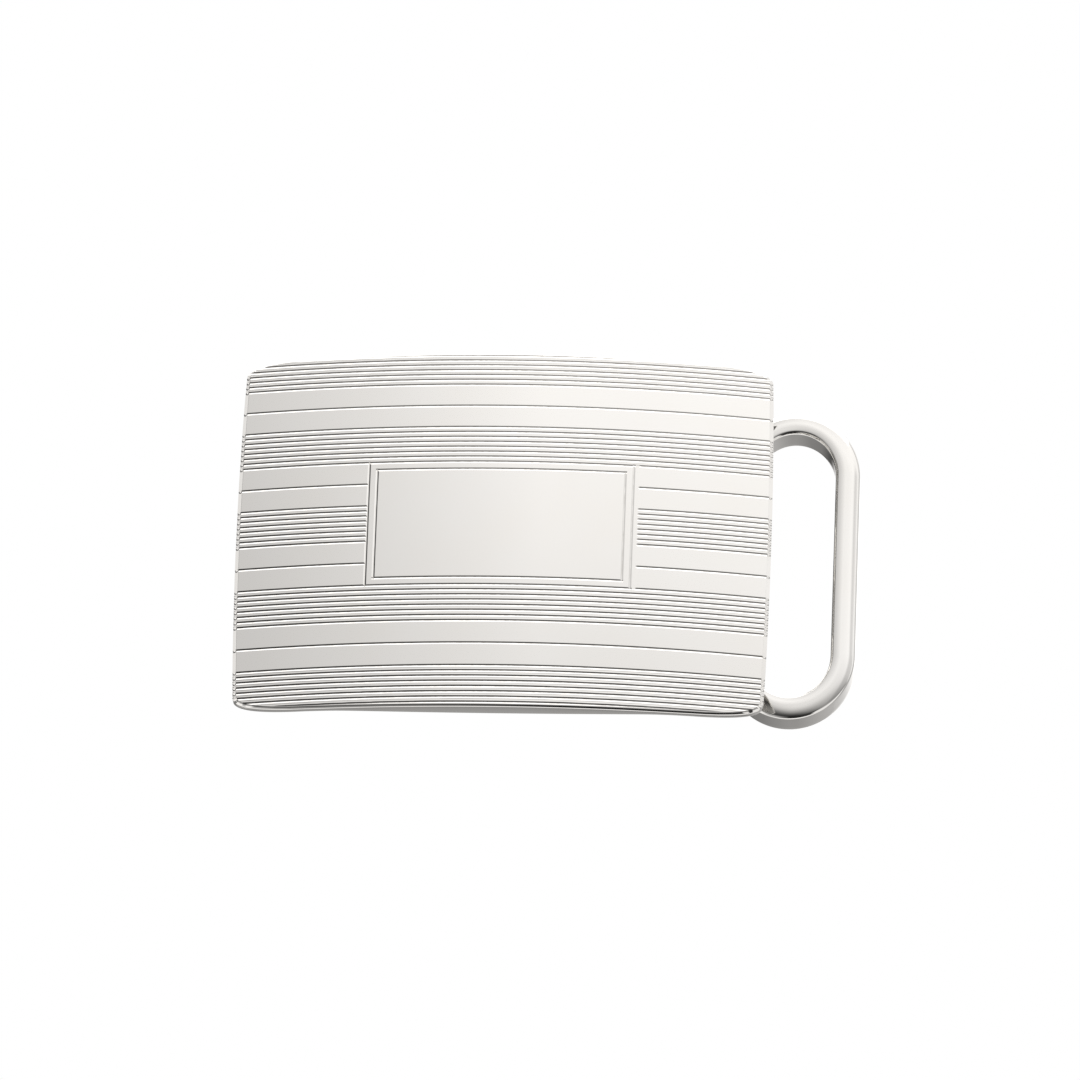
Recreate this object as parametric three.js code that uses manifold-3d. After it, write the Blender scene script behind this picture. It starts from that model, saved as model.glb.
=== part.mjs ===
// A gentleman's dress belt buckle: a curved silver plaque with an engraved tablet, a strap loop that
// swings on two hinge knuckles behind one end, and a fixed belt hook behind the other end.
// Millimetres. +X points to the strap loop, -Y out of the face, +Z up.

import * as THREE from "three";
import { mergeVertices } from "three/addons/utils/BufferGeometryUtils.js";
import Module from "manifold-3d";

const wasm = await Module();
wasm.setup();

// ---- driving dimensions ----

// The plaque's face: a sheet that is curved along its length and slightly domed in its height.
const FACE_WIDTH = 52;
const FACE_HEIGHT = 38.8;
const FACE_THICKNESS = 0.5;
const SHORT_EDGE_BOW = 0.3;
const LONG_EDGE_BOW = 0.15;
const CORNER_ALONG = 7;
const CORNER_UP = 1.6;
const CURVE_ALONG = 138.6;
const CURVE_UP = 294.8;
const FACE_FACET = 2;

// The engraved tablet at the middle of the face: two frame lines cut round a plain panel.
const TABLET_WIDTH = 25.7;
const TABLET_HEIGHT = 13.5;
const TABLET_LINE_GAP = 0.8;
const TABLET_LINE_WIDTH = 0.22;
const TABLET_LINE_DEPTH = 0.1;
const TABLET_X = -0.35;
const TABLET_Z = 0.3;

// The rim: a wall soldered behind the face all round its edge. Its rear edge is flat, and follows the
// face where the ends of the face come back to that plane.
const PLAQUE_DEPTH = 2.4;
const RIM_WALL = 0.9;
const RIM_INSET = 0.05;
const RIM_LEAST_DEPTH = 0.25;

// The two bearer plates soldered to the back of the face.
const BEARER_THICKNESS = 0.8;
const HINGE_BEARER = { x: 22.5, width: 4.6, height: 20 };
const HOOK_BEARER = { x: -16.6, width: 9, height: 12 };

// The strap loop: a bar of D section bent into an oblong ring, dome forward.
const LOOP_WIDTH = 12.62;
const LOOP_HEIGHT = 33.58;
const LOOP_END_RISE = 6.99;
const LOOP_BAR = 2.35;
const LOOP_WALL_DEPTH = 2.37;
const LOOP_SHOULDER = 0.35;
const LOOP_DOME_ANGLE = THREE.MathUtils.degToRad(20);
const LOOP_CENTRE_X = 27.92;
const LOOP_CENTRE_Y = 6.47;
const LOOP_STEPS = 60;

// The hinge: a round journal on the loop's inner bar turns in two knuckles.
const JOURNAL_RADIUS = 1.17;
const JOURNAL_CLEARANCE = 0.06;
const JOURNAL_HALF_LENGTH = 9;
const KNUCKLE_WALL = 0.75;
const KNUCKLE_NEAR_END = 3.6;
const KNUCKLE_FAR_END = 8.5;
const KNUCKLE_STEM_HALF = 1;
const KNUCKLE_FOOT_HALF = 1.75;
const KNUCKLE_FOOT_RISE = 0.9;

// The belt hook: a round wire that stands on a flange and bends towards the middle of the plaque.
const HOOK_RADIUS = 1.1;
const HOOK_BEND = 1.8;
const HOOK_HEIGHT = 6.2;
const HOOK_REACH = 5.4;
const HOOK_FLANGE_RADIUS = 2.1;
const HOOK_FLANGE_RISE = 0.7;

// A solder joint is a thin gap between two solids.
const SOLDER_GAP = 0.15;

// ---- derived places ----

const APEX_Y = -PLAQUE_DEPTH;
const LOOP_HALF_SPAN = (LOOP_WIDTH - LOOP_BAR) / 2;
const HINGE_X = LOOP_CENTRE_X - LOOP_HALF_SPAN;
const BEARER_FRONT = FACE_THICKNESS + SOLDER_GAP;
const BEARER_REAR = BEARER_FRONT + BEARER_THICKNESS;
const WELL_IN_FRONT = -12;
const FAR_IN_FRONT = -24;
const REACH = 60;

const group = new THREE.Group();

// ---- solids ----

function solid(geometry) {
  const bare = geometry.clone();
  bare.deleteAttribute("normal");
  bare.deleteAttribute("uv");
  const merged = mergeVertices(bare, 1e-4);
  const vertProperties = new Float32Array(merged.attributes.position.array);
  const triVerts = new Uint32Array(merged.index.array);
  return new wasm.Manifold(new wasm.Mesh({ numProp: 3, vertProperties, triVerts }));
}

function addPiece(name, manifold, roughness) {
  const { vertProperties, triVerts } = manifold.getMesh();
  const geometry = new THREE.BufferGeometry();
  geometry.setAttribute("position", new THREE.BufferAttribute(vertProperties, 3));
  geometry.setIndex(new THREE.BufferAttribute(triVerts, 1));
  const flat = geometry.toNonIndexed();
  flat.computeVertexNormals();
  const material = new THREE.MeshStandardMaterial({ color: 0xe9e7e3, roughness, metalness: 1 });
  const mesh = new THREE.Mesh(flat, material);
  mesh.name = name;
  group.add(mesh);
}

// A shape drawn in X and Z, run along Y.
function prismAlongY(shape, fromY, toY) {
  const geometry = new THREE.ExtrudeGeometry(shape, {
    depth: toY - fromY,
    bevelEnabled: false,
    curveSegments: 8,
  });
  geometry.rotateX(Math.PI / 2);
  geometry.translate(0, toY, 0);
  return solid(geometry);
}

// A shape drawn in X and Y, run along Z.
function prismAlongZ(shape, fromZ, toZ, curveSegments) {
  const geometry = new THREE.ExtrudeGeometry(shape, {
    depth: toZ - fromZ,
    bevelEnabled: false,
    curveSegments,
  });
  geometry.translate(0, 0, fromZ);
  return solid(geometry);
}

function rectangle(centreX, centreZ, width, height) {
  const shape = new THREE.Shape();
  shape.moveTo(centreX - width / 2, centreZ - height / 2);
  shape.lineTo(centreX + width / 2, centreZ - height / 2);
  shape.lineTo(centreX + width / 2, centreZ + height / 2);
  shape.lineTo(centreX - width / 2, centreZ + height / 2);
  shape.closePath();
  return shape;
}

// The plaque's outline, with four bowed sides and corners longer than they are tall, shrunk by inset.
function outline(inset) {
  const cornerX = FACE_WIDTH / 2 - SHORT_EDGE_BOW - inset;
  const cornerZ = FACE_HEIGHT / 2 - LONG_EDGE_BOW - inset;
  const along = CORNER_ALONG - inset / 2;
  const up = CORNER_UP - inset / 2;
  const swellX = cornerX + 2 * SHORT_EDGE_BOW;
  const swellZ = cornerZ + 2 * LONG_EDGE_BOW;
  const shape = new THREE.Shape();
  shape.moveTo(-cornerX + along, -cornerZ);
  shape.quadraticCurveTo(0, -swellZ, cornerX - along, -cornerZ);
  shape.quadraticCurveTo(cornerX, -cornerZ, cornerX, -cornerZ + up);
  shape.quadraticCurveTo(swellX, 0, cornerX, cornerZ - up);
  shape.quadraticCurveTo(cornerX, cornerZ, cornerX - along, cornerZ);
  shape.quadraticCurveTo(0, swellZ, -cornerX + along, cornerZ);
  shape.quadraticCurveTo(-cornerX, cornerZ, -cornerX, cornerZ - up);
  shape.quadraticCurveTo(-swellX, 0, -cornerX, -cornerZ + up);
  shape.quadraticCurveTo(-cornerX, -cornerZ, -cornerX + along, -cornerZ);
  return shape;
}

// The line that the middle of the face follows from end to end.
class FaceArc extends THREE.Curve {
  getPoint(t) {
    const halfAngle = (FACE_WIDTH / 2 + FACE_FACET) / CURVE_ALONG;
    const angle = (2 * t - 1) * halfAngle;
    const x = CURVE_ALONG * Math.sin(angle);
    const y = APEX_Y + CURVE_ALONG * (1 - Math.cos(angle));
    return new THREE.Vector3(x, y, 0);
  }
}

// The layer between two depths behind the surface of the face, wider and taller than the plaque.
function layer(frontDepth, rearDepth) {
  const halfAngle = (FACE_HEIGHT / 2 + FACE_FACET) / CURVE_UP;
  const middle = -Math.PI / 2;
  const section = new THREE.Shape();
  section.absarc(0, CURVE_UP, CURVE_UP - frontDepth, middle - halfAngle, middle + halfAngle, false);
  section.absarc(0, CURVE_UP, CURVE_UP - rearDepth, middle + halfAngle, middle - halfAngle, true);
  section.closePath();
  const geometry = new THREE.ExtrudeGeometry(section, {
    steps: Math.round(FACE_WIDTH / FACE_FACET) + 2,
    extrudePath: new FaceArc(),
    curveSegments: 8,
  });
  return solid(geometry);
}

// ---- pieces ----

function tabletLine(width, height) {
  const line = rectangle(TABLET_X, TABLET_Z, width, height);
  const innerWidth = width - 2 * TABLET_LINE_WIDTH;
  const innerHeight = height - 2 * TABLET_LINE_WIDTH;
  const inner = rectangle(TABLET_X, TABLET_Z, innerWidth, innerHeight);
  line.holes.push(inner);
  return prismAlongY(line, WELL_IN_FRONT, REACH);
}

function facePlate() {
  const sheet = layer(0, FACE_THICKNESS).intersect(prismAlongY(outline(0), WELL_IN_FRONT, REACH));
  const outer = tabletLine(TABLET_WIDTH, TABLET_HEIGHT);
  const inner = tabletLine(TABLET_WIDTH - 2 * TABLET_LINE_GAP, TABLET_HEIGHT - 2 * TABLET_LINE_GAP);
  const cut = outer.add(inner).intersect(layer(-1, TABLET_LINE_DEPTH));
  return sheet.subtract(cut);
}

function rimFrame() {
  const outside = prismAlongY(outline(RIM_INSET), WELL_IN_FRONT, REACH);
  const inside = prismAlongY(outline(RIM_INSET + RIM_WALL), WELL_IN_FRONT, REACH);
  const inFrontOfRearPlane = prismAlongY(rectangle(0, 0, REACH, REACH), WELL_IN_FRONT, 0);
  const nearTheFace = layer(-1, BEARER_FRONT + RIM_LEAST_DEPTH);
  const wall = outside.subtract(inside).intersect(inFrontOfRearPlane.add(nearTheFace));
  return wall.subtract(layer(FAR_IN_FRONT, BEARER_FRONT));
}

function bearer({ x, width, height }) {
  const block = prismAlongY(rectangle(x, 0, width, height), WELL_IN_FRONT, REACH);
  return layer(BEARER_FRONT, BEARER_REAR).intersect(block);
}

// A knuckle is a strip wrapped round the journal: a barrel on a stem with a spread foot.
function knuckle(fromZ, toZ) {
  const barrel = JOURNAL_RADIUS + JOURNAL_CLEARANCE + KNUCKLE_WALL;
  const footY = APEX_Y + HINGE_X ** 2 / (2 * CURVE_ALONG) + BEARER_REAR;
  const joinAngle = Math.acos(KNUCKLE_STEM_HALF / barrel);
  const shape = new THREE.Shape();
  shape.moveTo(HINGE_X - KNUCKLE_FOOT_HALF, footY - 1);
  shape.lineTo(HINGE_X + KNUCKLE_FOOT_HALF, footY - 1);
  shape.lineTo(HINGE_X + KNUCKLE_FOOT_HALF, footY + KNUCKLE_FOOT_RISE / 2);
  shape.lineTo(HINGE_X + KNUCKLE_STEM_HALF, footY + KNUCKLE_FOOT_RISE);
  shape.absarc(HINGE_X, LOOP_CENTRE_Y, barrel, -joinAngle, Math.PI + joinAngle, false);
  shape.lineTo(HINGE_X - KNUCKLE_STEM_HALF, footY + KNUCKLE_FOOT_RISE);
  shape.lineTo(HINGE_X - KNUCKLE_FOOT_HALF, footY + KNUCKLE_FOOT_RISE / 2);
  shape.closePath();
  const bore = new THREE.Path();
  bore.absarc(HINGE_X, LOOP_CENTRE_Y, JOURNAL_RADIUS + JOURNAL_CLEARANCE, 0, 2 * Math.PI, true);
  shape.holes.push(bore);
  return prismAlongZ(shape, fromZ, toZ, 20).subtract(layer(FAR_IN_FRONT, BEARER_REAR + SOLDER_GAP));
}

// Half of an upright ellipse, from one side of the loop over its end to the other side.
class LoopEnd extends THREE.Curve {
  constructor(centreZ, startAngle) {
    super();
    this.centreZ = centreZ;
    this.startAngle = startAngle;
  }

  getPoint(t) {
    const angle = this.startAngle - Math.PI * t;
    const x = LOOP_CENTRE_X + LOOP_HALF_SPAN * Math.cos(angle);
    const z = this.centreZ + (LOOP_END_RISE - LOOP_BAR / 2) * Math.sin(angle);
    return new THREE.Vector3(x, LOOP_CENTRE_Y, z);
  }
}

// The bar's section: a flat back with eased corners, flat sides, round shoulders and a shallow dome.
function barSection() {
  const half = LOOP_BAR / 2;
  const wall = LOOP_WALL_DEPTH / 2;
  const ease = 0.25;
  const shoulderY = half - LOOP_SHOULDER;
  const domeRadius = (shoulderY + LOOP_SHOULDER * Math.sin(LOOP_DOME_ANGLE)) / Math.sin(LOOP_DOME_ANGLE);
  const domeX = wall + (LOOP_SHOULDER - domeRadius) * Math.cos(LOOP_DOME_ANGLE);
  const section = new THREE.Shape();
  section.moveTo(-wall, -half + ease);
  section.lineTo(-wall, half - ease);
  section.quadraticCurveTo(-wall, half, -wall + ease, half);
  section.absarc(wall, shoulderY, LOOP_SHOULDER, Math.PI / 2, LOOP_DOME_ANGLE, true);
  section.absarc(domeX, 0, domeRadius, LOOP_DOME_ANGLE, -LOOP_DOME_ANGLE, true);
  section.absarc(wall, -shoulderY, LOOP_SHOULDER, -LOOP_DOME_ANGLE, -Math.PI / 2, true);
  section.lineTo(-wall + ease, -half);
  section.quadraticCurveTo(-wall, -half, -wall, -half + ease);
  return section;
}

function strapLoop() {
  const straight = LOOP_HEIGHT / 2 - LOOP_END_RISE;
  const outerX = LOOP_CENTRE_X + LOOP_HALF_SPAN;
  const at = (x, z) => new THREE.Vector3(x, LOOP_CENTRE_Y, z);
  const path = new THREE.CurvePath();
  path.add(new THREE.LineCurve3(at(HINGE_X, JOURNAL_HALF_LENGTH), at(HINGE_X, straight)));
  path.add(new LoopEnd(straight, Math.PI));
  path.add(new THREE.LineCurve3(at(outerX, straight), at(outerX, -straight)));
  path.add(new LoopEnd(-straight, 0));
  path.add(new THREE.LineCurve3(at(HINGE_X, -straight), at(HINGE_X, -JOURNAL_HALF_LENGTH)));
  const bar = new THREE.ExtrudeGeometry(barSection(), {
    steps: LOOP_STEPS,
    extrudePath: path,
    curveSegments: 4,
  });
  const length = 2 * JOURNAL_HALF_LENGTH + LOOP_BAR / 4;
  const journal = new THREE.CylinderGeometry(JOURNAL_RADIUS, JOURNAL_RADIUS, length, 40);
  journal.rotateX(Math.PI / 2);
  journal.translate(HINGE_X, LOOP_CENTRE_Y, 0);
  return solid(bar).add(solid(journal));
}

class HookBend extends THREE.Curve {
  getPoint(t) {
    const angle = Math.PI - (Math.PI / 2) * t;
    const x = HOOK_BEARER.x + HOOK_BEND + HOOK_BEND * Math.cos(angle);
    const y = HOOK_HEIGHT - HOOK_BEND + HOOK_BEND * Math.sin(angle);
    return new THREE.Vector3(x, y, 0);
  }
}

function beltHook() {
  const footY = APEX_Y + HOOK_BEARER.x ** 2 / (2 * CURVE_ALONG) + BEARER_REAR;
  const tipX = HOOK_BEARER.x + HOOK_REACH - HOOK_RADIUS;
  const at = (x, y) => new THREE.Vector3(x, y, 0);
  const path = new THREE.CurvePath();
  path.add(new THREE.LineCurve3(at(HOOK_BEARER.x, footY), at(HOOK_BEARER.x, HOOK_HEIGHT - HOOK_BEND)));
  path.add(new HookBend());
  path.add(new THREE.LineCurve3(at(HOOK_BEARER.x + HOOK_BEND, HOOK_HEIGHT), at(tipX, HOOK_HEIGHT)));
  const section = new THREE.Shape();
  section.absarc(0, 0, HOOK_RADIUS, 0, 2 * Math.PI, false);
  const wire = new THREE.ExtrudeGeometry(section, { steps: 16, extrudePath: path, curveSegments: 8 });
  const tip = new THREE.SphereGeometry(HOOK_RADIUS, 16, 10);
  tip.translate(tipX, HOOK_HEIGHT, 0);
  const flange = new THREE.CylinderGeometry(HOOK_RADIUS, HOOK_FLANGE_RADIUS, 2 * HOOK_FLANGE_RISE, 24);
  flange.translate(HOOK_BEARER.x, footY + HOOK_FLANGE_RISE / 2, 0);
  const whole = solid(wire).add(solid(tip)).add(solid(flange));
  return whole.subtract(layer(FAR_IN_FRONT, BEARER_REAR + SOLDER_GAP));
}

addPiece("face_plate", facePlate(), 0.12);
addPiece("rim_frame", rimFrame(), 0.18);
addPiece("hinge_bearer", bearer(HINGE_BEARER), 0.3);
addPiece("hinge_knuckle_upper", knuckle(KNUCKLE_NEAR_END, KNUCKLE_FAR_END), 0.3);
addPiece("hinge_knuckle_lower", knuckle(-KNUCKLE_FAR_END, -KNUCKLE_NEAR_END), 0.3);
addPiece("strap_loop", strapLoop(), 0.12);
addPiece("hook_bearer", bearer(HOOK_BEARER), 0.3);
addPiece("belt_hook", beltHook(), 0.25);

export default group;
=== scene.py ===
# A silver plaque belt buckle: the looks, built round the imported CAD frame.
# Shapes are worked out in millimetres and made in metres. +X points to the strap loop, -Y out of the
# face and +Z up as worn.

import math

import bmesh
import bpy
import numpy as np
from mathutils import Matrix, Vector


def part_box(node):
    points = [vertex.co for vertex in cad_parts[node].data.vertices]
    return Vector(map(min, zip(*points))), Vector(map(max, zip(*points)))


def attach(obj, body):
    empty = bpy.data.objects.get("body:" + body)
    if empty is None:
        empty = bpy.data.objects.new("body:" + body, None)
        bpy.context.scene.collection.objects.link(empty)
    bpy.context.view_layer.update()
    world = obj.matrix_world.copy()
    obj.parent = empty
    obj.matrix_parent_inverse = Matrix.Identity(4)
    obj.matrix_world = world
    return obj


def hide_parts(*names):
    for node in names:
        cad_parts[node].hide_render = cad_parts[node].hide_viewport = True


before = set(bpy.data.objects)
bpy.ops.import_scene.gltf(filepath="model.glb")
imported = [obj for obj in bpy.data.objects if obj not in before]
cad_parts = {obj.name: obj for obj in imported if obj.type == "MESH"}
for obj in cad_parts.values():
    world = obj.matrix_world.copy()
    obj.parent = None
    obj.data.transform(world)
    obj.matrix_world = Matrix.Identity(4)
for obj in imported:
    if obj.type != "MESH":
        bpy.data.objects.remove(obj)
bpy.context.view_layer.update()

MM = 0.001


def node_box(node):
    low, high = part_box(node)
    return np.array(low) / MM, np.array(high) / MM


# ---- sizes, in millimetres, from the CAD boxes where they can be read there ----

FACE_LOW, FACE_HIGH = node_box("face_plate")
HALF_WIDTH = (FACE_HIGH[0] - FACE_LOW[0]) / 2
HALF_HEIGHT = (FACE_HIGH[2] - FACE_LOW[2]) / 2
APEX_Y = -2.4
CURVE_ALONG = 138.6
CURVE_UP = 294.8
SHEET = 0.5
SHORT_BOW = 0.3
LONG_BOW = 0.15
CORNER_ALONG = 7
CORNER_UP = 1.6
ROLL_SHORT = 0.38
ROLL_LONG = 0.28
CHAMFER_DEPTH = 0.42
CHAMFER_FLAT = 1.0
ROLL_TURNS = (6, 14, 24, 35, 46, 57, 68, 79, 90)
BACK_EASE = 0.06

GROOVE_PITCH = 0.554
BAND_GROOVES = 8
GAP_PITCHES = 4.334
GROOVE_HALF = 0.145
GROOVE_DEPTH = 0.067
UPRIGHT_DEPTH = 0.05
RIB_LINE_HALF = 0.07
RIB_LINE_DEPTH = 0.012
NOTCH_DEEPER = 0.9
BURR_HEIGHT = 0.003
BURR_PLACE = 0.185
BURR_HALF = 0.045
SLOPE_STEP = 0.0015

TABLET_LEFT, TABLET_RIGHT = -13.2, 12.5
TABLET_HALF_HEIGHT = 6.74
TABLET_GAP = 0.8
TABLET_RIGHT_SPACE = 0.45
ENGRAVING_Z = 0.3

RIM_WALL = 0.9
RIM_INSET = 0.05
RIM_LEAST = 0.25
RIM_SEAM = 0.02
RIM_EASE = 0.1
RIM_TAPER = 0.15
OUTLINE_STEPS = 60
SOLDER = 0.15
BEARER = 0.8
BEARER_FRONT = SHEET + SOLDER
BEARER_REAR = BEARER_FRONT + BEARER
HINGE_BEARER = {"x": 22.5, "width": 4.6, "height": 20}
HOOK_BEARER = {"x": -16.6, "width": 9, "height": 12}
HINGE_BEARER_CORNER = 0.5
HOOK_BEARER_CORNER = 1.2
PLATE_EASE = 0.12

LOOP_X = 27.92
LOOP_Y = 6.47
LOOP_HALF_WIDTH = 6.31
LOOP_HALF_HEIGHT = 16.79
LOOP_END = 6.99
BAR = 2.35
BAR_WALL = 2.37
BAR_SHOULDER = 0.4
BAR_DOME_ANGLE = 20
BAR_CROWN_SHIFT = -0.28
BAR_EASE = 0.25
JOURNAL = 1.17
JOURNAL_HALF = 8.9
JOURNAL_BLEND_IN = 0.15
JOURNAL_BLEND_OUT = 0.25
HINGE_X = LOOP_X - LOOP_HALF_WIDTH + BAR / 2

BORE = 1.23
KNUCKLE_WALL = 0.75
KNUCKLE_ENDS = (3.6, 8.5)
KNUCKLE_STEM = 1
KNUCKLE_FOOT = 1.75
KNUCKLE_TOE = 0.42
KNUCKLE_FILLET = 0.72
KNUCKLE_SLIT = 0.03
KNUCKLE_EASE = 0.07

HOOK_RADIUS = 1.1
HOOK_BEND = 1.8
HOOK_HEIGHT = 6.2
HOOK_REACH = 5.4
HOOK_FLANGE = 2.1
HOOK_FLANGE_EDGE = 0.42
HOOK_FLARE = 0.85

SOLDER_PROFILE = ((-0.3, 0), (0.36, 0), (0.2, 0.05), (0.1, 0.13), (0.035, 0.27), (-0.3, 0.27))


# ---- materials ----

MIX_FACTOR, MIX_LOW, MIX_HIGH, MIX_RESULT = 0, 6, 7, 2
POLISH_SCALE = 140
HAIR_SCALE = (260, 2600, 4200)
HAIR_TURN = (0.0, 0.35, 0.2)
BUMP_DISTANCE = 0.000004
WARM_TINT = (0.985, 0.97, 0.945)
CHATTER_SCALE = (2100, 1, 900)
TARNISH = (0.5, 0.47, 0.43, 1)


def new_material(name):
    material = bpy.data.materials.new(name)
    material.use_nodes = True
    nodes = material.node_tree.nodes
    return material, nodes, material.node_tree.links, nodes["Principled BSDF"]


def add_noise(nodes, links, vector, scale, detail):
    noise = nodes.new("ShaderNodeTexNoise")
    noise.inputs["Scale"].default_value = scale
    noise.inputs["Detail"].default_value = detail
    links.new(vector, noise.inputs["Vector"])
    return noise.outputs["Fac"]


def add_range(nodes, links, value, low, high, to_low=0.0, to_high=1.0):
    """Carries a value from the range low to high over to another range."""
    carry = nodes.new("ShaderNodeMapRange")
    carry.inputs["From Min"].default_value = low
    carry.inputs["From Max"].default_value = high
    carry.inputs["To Min"].default_value = to_low
    carry.inputs["To Max"].default_value = to_high
    links.new(value, carry.inputs["Value"])
    return carry.outputs["Result"]


def add_stretch(nodes, links, vector, scale, turn=(0.0, 0.0, 0.0)):
    stretch = nodes.new("ShaderNodeMapping")
    stretch.inputs["Scale"].default_value = scale
    stretch.inputs["Rotation"].default_value = turn
    links.new(vector, stretch.inputs["Vector"])
    return stretch.outputs["Vector"]


def add_math(nodes, links, operation, first, second):
    maths = nodes.new("ShaderNodeMath")
    maths.operation = operation
    links.new(first, maths.inputs[0])
    links.new(second, maths.inputs[1])
    return maths.outputs["Value"]


def add_mix(nodes, links, factor, low, high):
    """A mix of two colours. Each of low and high is a colour or a socket."""
    mix = nodes.new("ShaderNodeMix")
    mix.data_type = "RGBA"
    links.new(factor, mix.inputs[MIX_FACTOR])
    for index, colour in ((MIX_LOW, low), (MIX_HIGH, high)):
        if isinstance(colour, tuple):
            mix.inputs[index].default_value = colour
        else:
            links.new(colour, mix.inputs[index])
    return mix.outputs[MIX_RESULT]


def silver(name, colour, roughness, wear, scratch, grain_scale):
    """Silver with uneven polish, hairline scratches, fine grain and a faint warm tone in places."""
    material, nodes, links, shader = new_material(name)
    shader.inputs["Metallic"].default_value = 1.0
    place = nodes.new("ShaderNodeTexCoord").outputs["Object"]

    cloud = add_noise(nodes, links, place, POLISH_SCALE, 5)
    polish = add_range(nodes, links, cloud, 0.3, 0.7, roughness, roughness + wear)
    links.new(polish, shader.inputs["Roughness"])
    warm = tuple(part * tint for part, tint in zip(colour, WARM_TINT))
    links.new(add_mix(nodes, links, cloud, (*colour, 1), (*warm, 1)), shader.inputs["Base Color"])

    hairs = add_noise(nodes, links, add_stretch(nodes, links, place, HAIR_SCALE, HAIR_TURN), 1, 3)
    grain = add_noise(nodes, links, place, grain_scale, 2)
    bump = nodes.new("ShaderNodeBump")
    bump.inputs["Strength"].default_value = scratch
    bump.inputs["Distance"].default_value = BUMP_DISTANCE
    links.new(add_math(nodes, links, "ADD", hairs, grain), bump.inputs["Height"])
    links.new(bump.outputs["Normal"], shader.inputs["Normal"])
    return material


def age_grooves(material):
    """Uneven grey tarnish and cutter chatter in the engraved lines, from the mesh's cut attribute."""
    nodes, links = material.node_tree.nodes, material.node_tree.links
    shader = nodes["Principled BSDF"]
    clean = shader.inputs["Base Color"].links[0].from_socket
    depth = nodes.new("ShaderNodeAttribute")
    depth.attribute_name = "cut"
    place = nodes.new("ShaderNodeTexCoord").outputs["Object"]
    chatter = add_noise(nodes, links, add_stretch(nodes, links, place, CHATTER_SCALE), 1, 2)
    uneven = add_range(nodes, links, chatter, 0.38, 0.66, 0.0, 0.85)
    deepest = add_range(nodes, links, depth.outputs["Fac"], 0.35, 0.9)
    amount = add_math(nodes, links, "MULTIPLY", deepest, uneven)
    links.new(add_mix(nodes, links, amount, clean, TARNISH), shader.inputs["Base Color"])


MIRROR = silver("silver_mirror", (0.945, 0.94, 0.925), 0.05, 0.03, 0.06, 1500)
age_grooves(MIRROR)
LOOP_SILVER = silver("silver_loop", (0.945, 0.94, 0.925), 0.05, 0.04, 0.18, 1200)
RIM_SILVER = silver("silver_rim", (0.93, 0.925, 0.91), 0.1, 0.06, 0.5, 1600)
SATIN = silver("silver_satin", (0.86, 0.85, 0.83), 0.24, 0.14, 1.0, 2600)
REAR_SILVER = silver("silver_hardware", (0.88, 0.87, 0.85), 0.14, 0.1, 0.8, 2000)
SOLDER_GREY = silver("silver_solder", (0.74, 0.73, 0.7), 0.3, 0.15, 1.0, 3200)


# ---- mesh helpers ----

def face_outwards(mesh):
    shell = bmesh.new()
    shell.from_mesh(mesh)
    bmesh.ops.recalc_face_normals(shell, faces=shell.faces)
    shell.to_mesh(mesh)
    shell.free()


def make_object(name, vertices, faces, material, body="plaque", slot="silver_polished",
                normals=None, sharp=35):
    """A closed smooth-shaded mesh. normals, where given, holds one row for each vertex, and a row of
    zeros leaves that vertex to Blender."""
    mesh = bpy.data.meshes.new(name)
    mesh.from_pydata((np.asarray(vertices) * MM).tolist(), [], faces)
    mesh.validate()
    if normals is None:
        face_outwards(mesh)
    mesh.polygons.foreach_set("use_smooth", np.ones(len(mesh.polygons), dtype=bool))
    mesh.set_sharp_from_angle(angle=math.radians(sharp))
    if normals is not None:
        corner_vertex = np.zeros(len(mesh.loops), dtype=np.int64)
        mesh.loops.foreach_get("vertex_index", corner_vertex)
        mesh.normals_split_custom_set(np.asarray(normals)[corner_vertex].tolist())
    mesh.materials.append(material)
    piece = bpy.data.objects.new(name, mesh)
    bpy.context.collection.objects.link(piece)
    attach(piece, body)
    return piece


def grid_faces(rows, columns, start=0, flip=False, wrap_rows=False, wrap_columns=False):
    faces = []
    for i in range(rows if wrap_rows else rows - 1):
        for j in range(columns if wrap_columns else columns - 1):
            a = start + i * columns + j
            b = start + i * columns + (j + 1) % columns
            c = start + ((i + 1) % rows) * columns + (j + 1) % columns
            d = start + ((i + 1) % rows) * columns + j
            faces.append((a, d, c, b) if flip else (a, b, c, d))
    return faces


def unit(vectors):
    return vectors / np.linalg.norm(vectors, axis=-1, keepdims=True)


# ---- the plaque's surface and outline ----

def dome(x, z):
    """Y of the smooth face at x, z."""
    return APEX_Y + x ** 2 / (2 * CURVE_ALONG) + z ** 2 / (2 * CURVE_UP)


def rear_edge(x, z):
    """Y of the rim's rear edge: a flat plane, and behind the face where its ends come back to it."""
    behind = dome(x, z) + BEARER_FRONT + RIM_LEAST
    return (behind + np.sqrt(behind ** 2 + RIM_TAPER ** 2)) / 2


def corner_sizes(inset_x, inset_z):
    """Where the plaque's corners lie and how far they run, for an outline shrunk by two insets."""
    corner_x = HALF_WIDTH - SHORT_BOW - inset_x
    corner_z = HALF_HEIGHT - LONG_BOW - inset_z
    return corner_x, corner_z, CORNER_ALONG - inset_x / 2, CORNER_UP - inset_z / 2


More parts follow.
